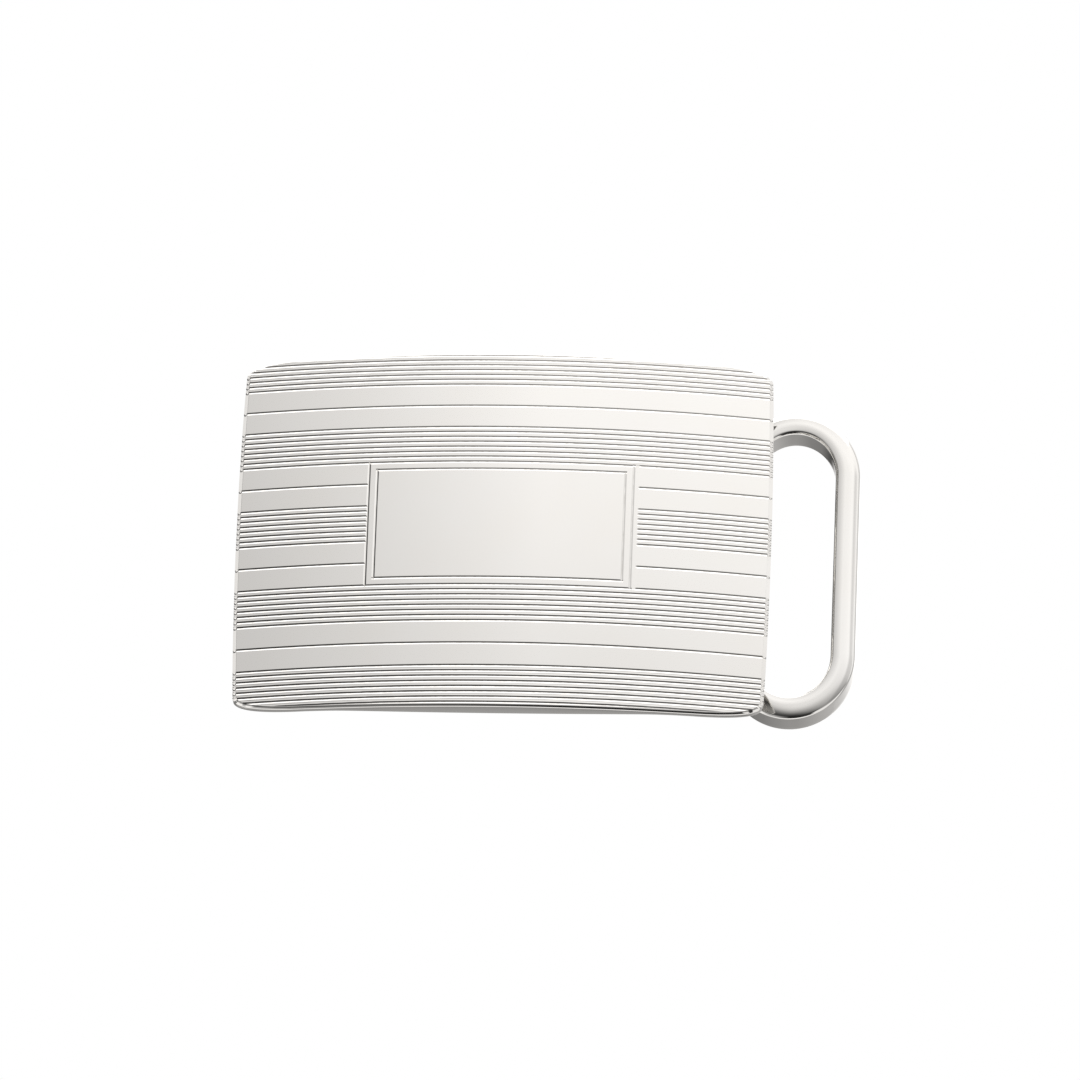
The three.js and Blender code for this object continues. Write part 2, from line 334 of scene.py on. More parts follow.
def outline(inset, count):
    """Points (x, z) of the plaque's outline, shrunk by inset, anticlockwise from the lower left."""
    corner_x, corner_z, along, rise = corner_sizes(inset, inset)
    x1, z1 = corner_x - along, corner_z - rise
    swell_x, swell_z = corner_x + 2 * SHORT_BOW, corner_z + 2 * LONG_BOW
    arcs = [
        ((-x1, -corner_z), (0, -swell_z), (x1, -corner_z), count),
        ((x1, -corner_z), (corner_x, -corner_z), (corner_x, -z1), count // 2),
        ((corner_x, -z1), (swell_x, 0), (corner_x, z1), count),
        ((corner_x, z1), (corner_x, corner_z), (x1, corner_z), count // 2),
        ((x1, corner_z), (0, swell_z), (-x1, corner_z), count),
        ((-x1, corner_z), (-corner_x, corner_z), (-corner_x, z1), count // 2),
        ((-corner_x, z1), (-swell_x, 0), (-corner_x, -z1), count),
        ((-corner_x, -z1), (-corner_x, -corner_z), (-x1, -corner_z), count // 2),
    ]
    points = []
    for start, control, end, steps in arcs:
        start, control, end = np.array(start), np.array(control), np.array(end)
        for t in np.arange(steps) / steps:
            points.append((1 - t) ** 2 * start + 2 * t * (1 - t) * control + t ** 2 * end)
    return np.array(points)


# ---- the engine-turned face ----

def groove_heights():
    """Heights of the grooves: five bands of eight, one groove alone in each gap, and the rib lines."""
    inner = (BAND_GROOVES - 1) / 2
    step = BAND_GROOVES - 1 + 2 * GAP_PITCHES
    band = np.arange(BAND_GROOVES) - inner
    bands = [band + step * k for k in (-2, -1, 0, 1, 2)]
    singles = [inner + GAP_PITCHES + step * k for k in (-2, -1, 0, 1)]
    ribs = np.concatenate([(b[:-1] + b[1:]) / 2 for b in bands]) * GROOVE_PITCH + ENGRAVING_Z
    grooves = np.concatenate(bands + [singles]) * GROOVE_PITCH + ENGRAVING_Z
    return grooves, ribs


GROOVES, RIBS = groove_heights()


def vee(distance, half, depth):
    """Depth of a V-shaped cut at a distance from its middle, with an eased bottom and eased lips."""
    across = np.sqrt(distance ** 2 + (0.14 * half) ** 2) / half
    slope = depth * (1 - across)
    lip = 0.08 * depth
    return np.maximum((slope + np.sqrt(slope ** 2 + lip ** 2)) / 2 - lip * 0.06, 0)


def burr(distance):
    """Height of the metal that the cutter has pushed up beside a groove."""
    return BURR_HEIGHT * np.exp(-((distance - BURR_PLACE) / BURR_HALF) ** 2)


def smooth_step(value, low, high):
    t = np.clip((value - low) / (high - low), 0, 1)
    return t * t * (3 - 2 * t)


def cut_depth(x, z):
    """How deep the engraving is at x, z."""
    depth = np.zeros_like(x)
    for height in GROOVES:
        distance = np.abs(z - height)
        line = vee(distance, GROOVE_HALF, GROOVE_DEPTH) - burr(distance)
        depth = np.where(distance < 2.2 * GROOVE_HALF, depth + line, depth)
    for height in RIBS:
        distance = np.abs(z - height)
        line = vee(distance, RIB_LINE_HALF, RIB_LINE_DEPTH)
        depth = np.where(distance < 2 * RIB_LINE_HALF, depth + line, depth)
    z = z - ENGRAVING_Z
    beside = smooth_step(TABLET_LEFT - x, 0.0, 0.12)
    beside = beside + smooth_step(x - TABLET_RIGHT - TABLET_RIGHT_SPACE, 0.0, 0.2)
    above = np.abs(z) > TABLET_HALF_HEIGHT + GROOVE_HALF / 2
    depth = depth * np.where(above, 1, np.clip(beside, 0, 1))
    for gap in (0.0, TABLET_GAP):
        left, right, top = TABLET_LEFT + gap, TABLET_RIGHT - gap, TABLET_HALF_HEIGHT - gap
        within_x = (x > left - GROOVE_HALF) & (x < right + GROOVE_HALF)
        within_z = np.abs(z) < top + GROOVE_HALF
        level = vee(np.abs(np.abs(z) - top), GROOVE_HALF, GROOVE_DEPTH) * within_x
        side = np.minimum(np.abs(x - left), np.abs(x - right))
        upright = vee(side, GROOVE_HALF, UPRIGHT_DEPTH) * within_z
        depth = np.maximum(depth, np.maximum(level, upright))
    return depth


def face_y(x, z):
    return dome(x, z) + cut_depth(x, z)


def spread(values, least):
    """Sorted values, without those closer than least to the one before."""
    kept = []
    for value in np.sort(values):
        if not kept or value - kept[-1] > least:
            kept.append(value)
    return np.array(kept)


SIDE_STEPS = np.array([0.15, 0.45, 0.8, 1, 1.14, 1.27, 1.46, 1.7])
ACROSS_GROOVE = np.concatenate([-SIDE_STEPS[::-1], [0], SIDE_STEPS])
FINE_FROM = 15.0
FINE_STEP = 0.034
BOW_FROM, BOW_FULL = 15.2, 17.6


def row_levels(limit):
    """Heights of the face's rows: set across each groove, and close together near the long edges."""
    rows = [height + GROOVE_HALF * ACROSS_GROOVE for height in GROOVES]
    rows += [height + RIB_LINE_HALF * np.array([-1.2, -0.5, 0, 0.5, 1.2]) for height in RIBS]
    for level in (TABLET_HALF_HEIGHT, TABLET_HALF_HEIGHT - TABLET_GAP):
        rows += [ENGRAVING_Z + side * level + GROOVE_HALF * ACROSS_GROOVE for side in (-1, 1)]
    rows.append(np.arange(-FINE_FROM, FINE_FROM, 0.5))
    middle = spread(np.concatenate(rows), 0.014)
    middle = middle[np.abs(middle) < FINE_FROM]
    count = round((limit - FINE_FROM) / FINE_STEP)
    outer = np.linspace(FINE_FROM + 0.01, limit, count)
    return np.concatenate([-outer[::-1], middle, outer])


def column_places(limit):
    lines = [TABLET_LEFT, TABLET_LEFT + TABLET_GAP, TABLET_RIGHT - TABLET_GAP, TABLET_RIGHT]
    places = [line + GROOVE_HALF * ACROSS_GROOVE for line in lines]
    places.append(TABLET_LEFT - np.linspace(0, 0.14, 5))
    places.append(TABLET_RIGHT + TABLET_RIGHT_SPACE + np.linspace(-0.02, 0.22, 6))
    places.append(np.linspace(-limit, limit, 53))
    near_end = limit - np.array([0.08, 0.17, 0.27, 0.38, 0.5])
    places += [near_end, -near_end]
    places = np.concatenate(places)
    places = spread(places[np.abs(places) < limit - 0.05], 0.02)
    return np.concatenate([[-limit], places, [limit]])


def face_grid():
    """X and Z of the face's points inside the rolled edge. Rows run level, and follow the long edges
    where they come near them."""
    corner_x, corner_z, along, rise = corner_sizes(ROLL_SHORT, ROLL_LONG)
    limit_x, limit_z = corner_x + SHORT_BOW, corner_z + LONG_BOW
    levels = row_levels(limit_z)
    places = column_places(limit_x) / limit_x
    x1 = corner_x - along
    t = np.linspace(1, 0, 40)
    corner_curve_x = corner_x - along * (1 - t) ** 2
    corner_curve_z = corner_z - rise * t ** 2 + LONG_BOW * (corner_curve_x / x1) ** 2
    corner_curve_z = np.maximum.accumulate(corner_curve_z)
    straight = corner_curve_z[0]
    side = corner_x + SHORT_BOW * (1 - (levels / straight) ** 2)
    at_corner = np.interp(np.abs(levels), corner_curve_z, corner_curve_x)
    reach = np.where(np.abs(levels) < straight, side, at_corner)
    x = places[None, :] * reach[:, None]
    level = np.repeat(levels[:, None], len(places), axis=1)
    follow = smooth_step(np.abs(level), BOW_FROM, BOW_FULL)
    z = level - np.sign(level) * LONG_BOW * (x / x1) ** 2 * follow
    return x, z


def grid_ring(rows, columns):
    """Indices round a grid's edge: along the bottom, up the right, back along the top, down the left."""
    index = np.arange(rows * columns).reshape(rows, columns)
    return np.concatenate([index[0, :], index[1:, -1], index[-1, -2::-1], index[-2:0:-1, 0]])


def ring_between(rows, columns, start, ring_first):
    """Faces of a coarse sheet that fills the ring of a fine grid. Its own inner points start at start."""
    coarse_rows = np.unique(np.linspace(0, rows - 1, 14).round().astype(int))
    coarse_columns = np.unique(np.linspace(0, columns - 1, 14).round().astype(int))
    place = {}
    for position, index in enumerate(grid_ring(rows, columns)):
        place[divmod(int(index), columns)] = ring_first + position
    inner = [(int(r), int(c)) for r in coarse_rows[1:-1] for c in coarse_columns[1:-1]]
    for position, key in enumerate(inner):
        place[key] = start + position
    faces = []
    for r0, r1 in zip(coarse_rows[:-1], coarse_rows[1:]):
        for c0, c1 in zip(coarse_columns[:-1], coarse_columns[1:]):
            low = [(r0, c) for c in range(c0, c1)]
            right = [(r, c1) for r in range(r0, r1)]
            high = [(r1, c) for c in range(c1, c0, -1)]
            left = [(r, c0) for r in range(r1, r0, -1)]
            walk = [place[key] for key in low + right + high + left if key in place]
            faces.append(tuple(reversed(walk)))
    return faces, inner


def bridge(loop_a, loop_b):
    count = len(loop_a)
    return [
        (int(loop_a[i]), int(loop_b[i]), int(loop_b[(i + 1) % count]), int(loop_a[(i + 1) % count]))
        for i in range(count)
    ]


def face_normals(x, z):
    """Normals of the engraved face, one row for each point."""
    slope_x = (face_y(x + SLOPE_STEP, z) - face_y(x - SLOPE_STEP, z)) / (2 * SLOPE_STEP)
    slope_z = (face_y(x, z + SLOPE_STEP) - face_y(x, z - SLOPE_STEP)) / (2 * SLOPE_STEP)
    return unit(np.stack([slope_x, -np.ones_like(x), slope_z], -1)).reshape(-1, 3)


def edge_rings(edge):
    """Rings of points from the face's edge to the sheet's back: the rolled long edges, the chamfered
    short ones with the ends of the grooves cut through them, and the small turn at the back."""
    cut = cut_depth(edge[:, 0], edge[:, 2])
    around = unit(np.roll(edge, -2, 0)[:, [0, 2]] - np.roll(edge, 2, 0)[:, [0, 2]])
    out_x, out_z = around[:, 1], -around[:, 0]
    base = edge[:, 1] - cut
    end = np.abs(out_x)
    flat = CHAMFER_FLAT * end
    rings = []
    for turn in np.radians(ROLL_TURNS):
        sine, cosine = math.sin(turn), math.cos(turn)
        share = turn / (np.pi / 2)
        end_cut = end * (1 + NOTCH_DEEPER * math.sin(2 * turn) - 0.4 * share)
        notch = cut * (end_cut + (1 - end) * cosine)
        out = (1 - flat) * sine + flat * share
        back = (1 - flat) * (1 - cosine) + flat * share
        x = edge[:, 0] + out_x * (ROLL_SHORT * out - notch * sine)
        z = edge[:, 2] + out_z * (ROLL_LONG * out - notch * sine)
        depth = (ROLL_LONG + (CHAMFER_DEPTH - ROLL_LONG) * end) * back + notch * cosine
        rings.append(np.stack([x, base + depth, z], -1))
    outermost = rings[-1]
    for inward, lift in ((0.0, BACK_EASE), (BACK_EASE, 0.0)):
        ring = outermost.copy()
        ring[:, 1] = dome(ring[:, 0], ring[:, 2]) + SHEET - lift
        ring[:, 0] -= out_x * inward
        ring[:, 2] -= out_z * inward
        rings.append(ring)
    return rings


def build_face():
    """The engraved sheet: vertices, faces, normals of the front, and how deep each point is cut."""
    x, z = face_grid()
    rows, columns = x.shape
    front = np.stack([x, face_y(x, z), z], -1).reshape(-1, 3)
    ring = grid_ring(rows, columns)
    rings = edge_rings(front[ring])

    faces = grid_faces(rows, columns)
    first = rows * columns
    previous = ring
    for position in range(len(rings)):
        current = np.arange(len(ring)) + first + position * len(ring)
        faces += bridge(previous, current)
        previous = current
    start = first + len(rings) * len(ring)
    back_faces, inner = ring_between(rows, columns, start, int(previous[0]))
    faces += back_faces
    inner_x = np.array([x[key] for key in inner])
    inner_z = np.array([z[key] for key in inner])
    back = np.stack([inner_x, dome(inner_x, inner_z) + SHEET, inner_z], -1)
    vertices = np.concatenate([front] + rings + [back])
    normals = np.zeros_like(vertices)
    normals[:first] = face_normals(x, z)
    cuts = np.zeros(len(vertices))
    cuts[:first] = cut_depth(x, z).ravel() / GROOVE_DEPTH
    return vertices, faces, normals, cuts


def finish_back(piece):
    """Gives the hidden side of the sheet a satin finish."""
    mesh = piece.data
    mesh.materials.append(SATIN)
    for polygon in mesh.polygons:
        if polygon.normal.y > 0.9:
            polygon.material_index = 1


vertices, faces, normals, cuts = build_face()
face = make_object("engine_turned_face", vertices, faces, MIRROR, normals=normals)
face.data.attributes.new("cut", "FLOAT", "POINT").data.foreach_set("value", cuts.astype(np.float32))
finish_back(face)
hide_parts("face_plate")


# ---- the rim ----

def build_rim():
    """The rim's wall: nine lines of points that run round it, with eased edges."""
    outer = outline(RIM_INSET, OUTLINE_STEPS)
    inner = outline(RIM_INSET + RIM_WALL, OUTLINE_STEPS)
    ease, part = RIM_EASE, 0.3 * RIM_EASE
    vertices = []
    for (xo, zo), (xi, zi) in zip(outer, inner):
        front_o, front_i = dome(xo, zo) + SHEET + RIM_SEAM, dome(xi, zi) + SHEET + RIM_SEAM
        rear_o, rear_i = rear_edge(xo, zo), rear_edge(xi, zi)
        in_x, in_z = np.array([xi - xo, zi - zo]) / RIM_WALL * ease
        vertices += [
            (xo + 0.3 * in_x, front_o, zo + 0.3 * in_z),
            (xo, front_o + part, zo),
            (xo, rear_o - ease, zo),
            (xo + 0.3 * in_x, rear_o - part, zo + 0.3 * in_z),
            (xo + in_x, rear_o, zo + in_z),
            (xi - in_x, rear_i, zi - in_z),
            (xi - 0.3 * in_x, rear_i - part, zi - 0.3 * in_z),
            (xi, rear_i - ease, zi),
            (xi, front_i, zi),
        ]
    return vertices, grid_faces(len(outer), 9, wrap_rows=True, wrap_columns=True)


vertices, faces = build_rim()
rim = make_object("rim_wall", vertices, faces, RIM_SILVER, sharp=30)
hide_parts("rim_frame")


# ---- sweeps ----

def sweep(points, sides, fronts, sections, closed):
    """Runs a changing section along points. A section's columns are its distance along side and front."""
    rings = [
        p + s[:, :1] * side + s[:, 1:] * front
        for p, side, front, s in zip(points, sides, fronts, sections)
    ]
    count = len(sections[0])
    vertices = np.concatenate(rings)
    faces = grid_faces(len(points), count, wrap_rows=closed, wrap_columns=True)
    if not closed:
        faces.append(tuple(range(count - 1, -1, -1)))
        last = (len(points) - 1) * count
        faces.append(tuple(last + i for i in range(count)))
    return vertices, faces


def bar_section():
    """The loop's bar: flat back with eased corners, flat sides, round shoulders and a shallow dome."""
    half, wall, ease = BAR / 2, BAR_WALL / 2, BAR_EASE
    dome_angle = math.radians(BAR_DOME_ANGLE)
    shoulder = half - BAR_SHOULDER
    dome_radius = (shoulder + BAR_SHOULDER * math.sin(dome_angle)) / math.sin(dome_angle)
    dome_centre = wall + (BAR_SHOULDER - dome_radius) * math.cos(dome_angle)

    def shoulder_arc(side):
        """The shoulder on one side, from the flat side to the dome, and the dome's angle there."""
        reach = shoulder - side * BAR_CROWN_SHIFT
        meet = math.asin(reach / (dome_radius - BAR_SHOULDER))
        middle = dome_centre + (dome_radius - BAR_SHOULDER) * math.cos(meet)
        angles = np.linspace(0, np.pi / 2 - meet, 12)
        arc = [
            (side * (shoulder + BAR_SHOULDER * math.cos(a)), middle + BAR_SHOULDER * math.sin(a))
            for a in angles
        ]
        return arc, meet

    outer_arc, outer_angle = shoulder_arc(1)
    inner_arc, inner_angle = shoulder_arc(-1)
    crown = [
        (BAR_CROWN_SHIFT + dome_radius * math.sin(angle), dome_centre + dome_radius * math.cos(angle))
        for angle in np.linspace(outer_angle, -inner_angle, 19)[1:-1]
    ]
    points = outer_arc + crown + inner_arc[::-1] + [(-half, wall * 0.3), (-half, -wall * 0.4)]
    for angle in np.linspace(np.pi, 1.5 * np.pi, 5):
        points.append((-half + ease + ease * math.cos(angle), -wall + ease + ease * math.sin(angle)))
    points.append((0, -wall))
    for angle in np.linspace(1.5 * np.pi, 2 * np.pi, 5):
        points.append((half - ease + ease * math.cos(angle), -wall + ease + ease * math.sin(angle)))
    points += [(half, -wall * 0.4), (half, wall * 0.3)]
    return np.array(points)


def loop_places():
    """Places round the ring, each with x, z and 1 on the hidden inner bar or 0 elsewhere."""
    half_span = LOOP_HALF_WIDTH - BAR / 2
    rise = LOOP_END - BAR / 2
    straight = LOOP_HALF_HEIGHT - LOOP_END
    ends = np.linspace(0, np.pi, 65)[:-1]
    blend_from, blend_to = JOURNAL_HALF - JOURNAL_BLEND_IN, JOURNAL_HALF + JOURNAL_BLEND_OUT
    inner_z = np.concatenate([
        np.linspace(-straight, -blend_to, 4)[:-1],
        np.linspace(-blend_to, -blend_from, 7),
        np.linspace(-JOURNAL_HALF + 0.6, JOURNAL_HALF - 0.6, 12),
        np.linspace(blend_from, blend_to, 7),
        np.linspace(blend_to, straight, 4)[1:],
    ])
    places = [(HINGE_X, z, 1) for z in inner_z[:-1]]
    places += [(LOOP_X - half_span * math.cos(a), straight + rise * math.sin(a), 0) for a in ends]
    places += [(LOOP_X + half_span, z, 0) for z in np.linspace(straight, -straight, 15)[:-1]]
    places += [(LOOP_X + half_span * math.cos(a), -straight - rise * math.sin(a), 0) for a in ends]
    return places


def build_loop():
    places = loop_places()
    path = np.array([(x, LOOP_Y, z) for x, z, _ in places])
    along = unit(np.roll(path, -1, 0) - np.roll(path, 1, 0))
    front = np.array([0.0, -1.0, 0.0])
    sides = [np.cross(front, t) for t in along]
    bar = bar_section()
    angles = np.arctan2(bar[:, 1], bar[:, 0])
    round_bar = JOURNAL * np.stack([np.cos(angles), np.sin(angles)], -1)
    blend_from, blend_to = JOURNAL_HALF - JOURNAL_BLEND_IN, JOURNAL_HALF + JOURNAL_BLEND_OUT
    sections = []
    for _, z, on_inner_bar in places:
        turned = on_inner_bar * (1 - smooth_step(abs(z), blend_from, blend_to))
        sections.append(bar * (1 - turned) + round_bar * turned)
    return sweep(path, sides, [front] * len(path), sections, closed=True)


vertices, faces = build_loop()
loop = make_object("strap_loop_bar", vertices, faces, LOOP_SILVER, body="loop")
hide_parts("strap_loop")


# ---- the plates, knuckles, hook and solder behind the face ----

def rounded_rectangle(x, z, width, height, radius):
    """Points (x, z) of a rectangle with round corners, anticlockwise from the lower right."""
    points = []
    for side_x, side_z, start in ((1, -1, -90), (1, 1, 0), (-1, 1, 90), (-1, -1, 180)):
        for angle in np.radians(start + np.linspace(0, 90, 7)):
            points.append((
                x + side_x * (width / 2 - radius) + radius * math.cos(angle),
                z + side_z * (height / 2 - radius) + radius * math.sin(angle),
            ))
    return divided(np.array(points), 0.5)


def divided(points, step):
    """A closed outline with points added, so that none lie further apart than step."""
    finer = []
    for here, there in zip(points, np.roll(points, -1, 0)):
        count = max(1, math.ceil(np.linalg.norm(there - here) / step))
        finer += [here + (there - here) * i / count for i in range(count)]
    return np.array(finer)


def grown(points, distance):
    """A closed anticlockwise outline moved outwards. distance is one number, or one for each point."""
    along = unit(np.roll(points, -1, 0) - np.roll(points, 1, 0))
    return points + np.reshape(distance, (-1, 1)) * np.stack([along[:, 1], -along[:, 0]], -1)


def behind_face(points, depth):
    """Points (x, z) placed at a depth behind the surface of the face."""
    return np.stack([points[:, 0], dome(points[:, 0], points[:, 1]) + depth, points[:, 1]], -1)


def build_plate(points, front, rear, ease):
    """A plate that follows the back of the face, with eased edges."""
    middle = points.mean(0)
    rings = []
    for share, inset, depth in (
        (0.35, 0, front), (0.75, 0, front), (1, ease, front), (1, 0.3 * ease, front + 0.3 * ease),
        (1, 0, front + ease), (1, 0, rear - ease), (1, 0.3 * ease, rear - 0.3 * ease), (1, ease, rear),
        (0.75, 0, rear), (0.35, 0, rear),
    ):
        rings.append(behind_face(middle + (grown(points, -inset) - middle) * share, depth))
    count = len(points)
    faces = grid_faces(len(rings), count, wrap_columns=True)
    ends = [behind_face(middle[None, :], depth) for depth in (front, rear)]
    first = len(rings) * count
    last_ring = first - count
    faces += [(first, j, (j + 1) % count) for j in range(count)]
    faces += [(first + 1, last_ring + (j + 1) % count, last_ring + j) for j in range(count)]
    return np.concatenate(rings + ends), faces


def build_solder(points, depth, side):
    """An uneven fillet of solder along an outline: outside it for side 1, inside it for side -1."""
    turn = np.linspace(0, 2 * np.pi, len(points), endpoint=False)
    uneven = 1 + 0.2 * np.sin(3 * turn + 0.6) + 0.14 * np.sin(11 * turn) + 0.1 * np.sin(23 * turn + 2)
    rings = []
    for out, rise in SOLDER_PROFILE:
        spread_out = np.where(out > 0, out * uneven, out)
        rings.append(behind_face(grown(points, side * spread_out), depth + rise))
    return np.concatenate(rings), grid_faces(len(rings), len(points), wrap_rows=True, wrap_columns=True)


def knuckle_leaf(side):
    """Points (x, y) of one side of the knuckle's foot and stem, from the foot up to the barrel. side is
    1 for the right and -1 for the left."""
    foot_y = dome(HINGE_X, 0) + BEARER_REAR
    corner_y = dome(HINGE_X + side * KNUCKLE_FOOT, 0) + BEARER_REAR
    points = [(KNUCKLE_FOOT, corner_y), (KNUCKLE_FOOT, foot_y + KNUCKLE_TOE - 0.08)]
    for angle in np.linspace(0, np.pi / 2, 9):
        across = KNUCKLE_STEM + KNUCKLE_FILLET * (1 - math.sin(angle))
        points.append((across, foot_y + KNUCKLE_TOE + KNUCKLE_FILLET * (1 - math.cos(angle))))
    return [(side * across, y) for across, y in points]


def knuckle_outline():
    """Points (x, y) of a strip that is wrapped round the loop's bar: two leaves on a spread foot, with
    a slit between them."""
    barrel = BORE + KNUCKLE_WALL
    foot_y = dome(HINGE_X, 0) + BEARER_REAR
    join = math.acos(KNUCKLE_STEM / barrel)
    outside = [
        (barrel * math.cos(angle), LOOP_Y + barrel * math.sin(angle))
        for angle in np.linspace(-join, np.pi + join, 49)
    ]
    opening = math.asin(KNUCKLE_SLIT / BORE)
    bore = [
        (BORE * math.cos(angle), LOOP_Y + BORE * math.sin(angle))
        for angle in np.linspace(1.5 * np.pi - opening, -0.5 * np.pi + opening, 41)
    ]
    points = knuckle_leaf(1) + outside + knuckle_leaf(-1)[::-1]
    points += [(-KNUCKLE_SLIT, foot_y)] + bore + [(KNUCKLE_SLIT, foot_y)]
    return np.array(points) + [HINGE_X, 0]


def build_knuckle(from_z, to_z):
    points = knuckle_outline()
    ease = KNUCKLE_EASE
    rings = []
    for inset, z in (
        (ease, from_z), (0.3 * ease, from_z + 0.3 * ease), (0, from_z + ease),
        (0, to_z - ease), (0.3 * ease, to_z - 0.3 * ease), (ease, to_z),
    ):
        flat = grown(points, -inset)
        rings.append(np.stack([flat[:, 0], flat[:, 1], np.full(len(flat), z)], -1))
    count = len(points)
    faces = grid_faces(len(rings), count, wrap_columns=True)
    last = (len(rings) - 1) * count
    faces += [tuple(range(count - 1, -1, -1)), tuple(range(last, last + count))]
    return np.concatenate(rings), faces


def hook_stations():
    """The hook's rings, from its flange to its tip: x and y of the middle, heading, radius and lean."""
    x, base = HOOK_BEARER["x"], dome(HOOK_BEARER["x"], 0) + BEARER_REAR
    rings = [(x, base, 0, HOOK_FLANGE, 1), (x, base + 0.3, 0, HOOK_FLANGE, 1)]
    rings += [(x, base + 0.38, 0, HOOK_FLANGE - 0.04, 1)]
    for angle in np.linspace(0, np.pi / 2, 9):
        radius = HOOK_RADIUS + HOOK_FLARE * (1 - math.sin(angle))
        y = base + HOOK_FLANGE_EDGE + HOOK_FLARE * (1 - math.cos(angle))
        rings.append((x, y, 0, radius, math.cos(angle)))
    bend_y = HOOK_HEIGHT - HOOK_BEND
    rings.append((x, (base + bend_y) / 2 + 0.6, 0, HOOK_RADIUS, 0))
    for angle in np.linspace(0, np.pi / 2, 17):
        middle_x = x + HOOK_BEND * (1 - math.cos(angle))
        rings.append((middle_x, bend_y + HOOK_BEND * math.sin(angle), angle, HOOK_RADIUS, 0))
    tip = x + HOOK_REACH - HOOK_RADIUS
    rings.append(((x + HOOK_BEND + tip) / 2, HOOK_HEIGHT, np.pi / 2, HOOK_RADIUS, 0))
    for angle in np.radians(np.arange(0, 90, 9)):
        radius = HOOK_RADIUS * math.cos(angle)
        rings.append((tip + HOOK_RADIUS * math.sin(angle), HOOK_HEIGHT, np.pi / 2, radius, 0))
    return rings


def build_hook():
    turns = np.linspace(0, 2 * np.pi, 40, endpoint=False)
    rings = []
    for x, y, heading, radius, lean in hook_stations():
        across = radius * np.cos(turns)
        ring_x, ring_z = x + across * math.cos(heading), radius * np.sin(turns)
        slope = lean * (dome(ring_x, ring_z) - dome(x, 0))
        rings.append(np.stack([ring_x, y - across * math.sin(heading) + slope, ring_z], -1))
    count = len(turns)
    faces = grid_faces(len(rings), count, wrap_columns=True)
    last = (len(rings) - 1) * count
    faces += [tuple(range(count - 1, -1, -1)), tuple(range(last, last + count))]
    return np.concatenate(rings), faces


def add_rear_piece(name, built, material, node=None):
    piece = make_object(name, *built, material, slot="silver_satin", sharp=40)
    if node:
        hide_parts(node)


def add_bearers():
    for name, place, corner in (
        ("hinge_bearer", HINGE_BEARER, HINGE_BEARER_CORNER),
        ("hook_bearer", HOOK_BEARER, HOOK_BEARER_CORNER),
    ):
        edge = rounded_rectangle(place["x"], 0, place["width"], place["height"], corner)
        plate = build_plate(edge, BEARER_FRONT, BEARER_REAR, PLATE_EASE)
        add_rear_piece(name + "_plate", plate, SATIN, name)
        add_rear_piece(name + "_solder", build_solder(edge, SHEET, 1), SOLDER_GREY)


def add_knuckles():
    near, far = KNUCKLE_ENDS
    for name, low, high in (("upper", near, far), ("lower", -far, -near)):
        node = "hinge_knuckle_" + name
        add_rear_piece(name + "_knuckle_strip", build_knuckle(low, high), REAR_SILVER, node)
        foot = rounded_rectangle(HINGE_X, (low + high) / 2, 2 * KNUCKLE_FOOT, high - low, 0.1)
        add_rear_piece(name + "_knuckle_solder", build_solder(foot, BEARER_REAR, 1), SOLDER_GREY)


def add_hook():
    add_rear_piece("belt_hook_wire", build_hook(), REAR_SILVER, "belt_hook")
    turns = np.linspace(0, 2 * np.pi, 64, endpoint=False)
    across, up = HOOK_FLANGE * np.cos(turns), HOOK_FLANGE * np.sin(turns)
    flange = np.stack([HOOK_BEARER["x"] + across, up], -1)
    add_rear_piece("belt_hook_solder", build_solder(flange, BEARER_REAR, 1), SOLDER_GREY)


add_bearers()
add_knuckles()
add_hook()
rim_inside = outline(RIM_INSET + RIM_WALL, OUTLINE_STEPS)
add_rear_piece("rim_solder", build_solder(rim_inside, SHEET, -1), SOLDER_GREY)


# ---- the stage, the light and the camera ----

# Brightness of the studio at pitches in degrees: 0 straight ahead of the face, 90 above, -90 below.
# There is one list for each side, from the far left of the face to its far right.
FAR_LEFT_LEVELS = [
    (-180, 0.2), (-152, 0.25), (-138, 0.9), (-60, 1.0), (-48, 0.5), (-30, 0.35), (0, 0.25),
    (20, 0.3), (31, 0.04), (96, 0.03), (100, 0.85), (114, 0.8), (118, 0.04), (160, 0.04),
    (180, 0.2),
]
LEFT_LEVELS = [
    (-180, 0.2), (-152, 0.24), (-138, 0.5), (-132, 0.8), (-102, 0.8), (-96, 0.5), (-60, 0.4),
    (-40, 0.15), (-24, 0.03), (-12, 0.07), (0, 0.3), (18, 0.6), (28, 0.62), (38, 0.68), (60, 0.66),
    (80, 0.62), (98, 0.66), (108, 1.0), (118, 1.3), (138, 1.3), (143, 0.1), (150, 0.04), (158, 0.05),
    (180, 0.2),
]
MIDDLE_LEVELS = [
    (-180, 0.4), (-150, 0.3), (-138, 0.3), (-132, 1.0), (-102, 1.0), (-98, 0.02), (-30, 0.02),
    (-22, 0.1), (-14, 0.3), (-6, 0.5), (2, 0.68), (10, 0.78), (20, 0.82), (28, 0.95), (36, 1.04),
    (50, 0.95), (70, 0.86), (86, 1.05), (120, 1.2), (146, 1.3), (160, 1.2), (180, 0.6),
]
RIGHT_LEVELS = [
    (-180, 0.5), (-152, 0.4), (-140, 0.4), (-132, 0.9), (-102, 0.9), (-98, 0.03), (-36, 0.05),
    (-22, 0.25), (-12, 0.38), (2, 0.5), (10, 0.65), (19, 0.88), (28, 0.98), (36, 1.06), (60, 1.1),
    (90, 1.1), (115, 0.75), (140, 0.6), (180, 0.5),
]
FAR_RIGHT_LEVELS = [
    (-180, 0.4), (-152, 0.35), (-140, 0.8), (-60, 0.9), (-48, 0.4), (-12, 0.25), (4, 0.4),
    (19, 0.62), (28, 0.68), (36, 0.7), (46, 1.0), (70, 1.05), (78, 0.4), (86, 0.35), (94, 0.95),
    (112, 0.9), (130, 0.5), (152, 0.45), (180, 0.4),
]


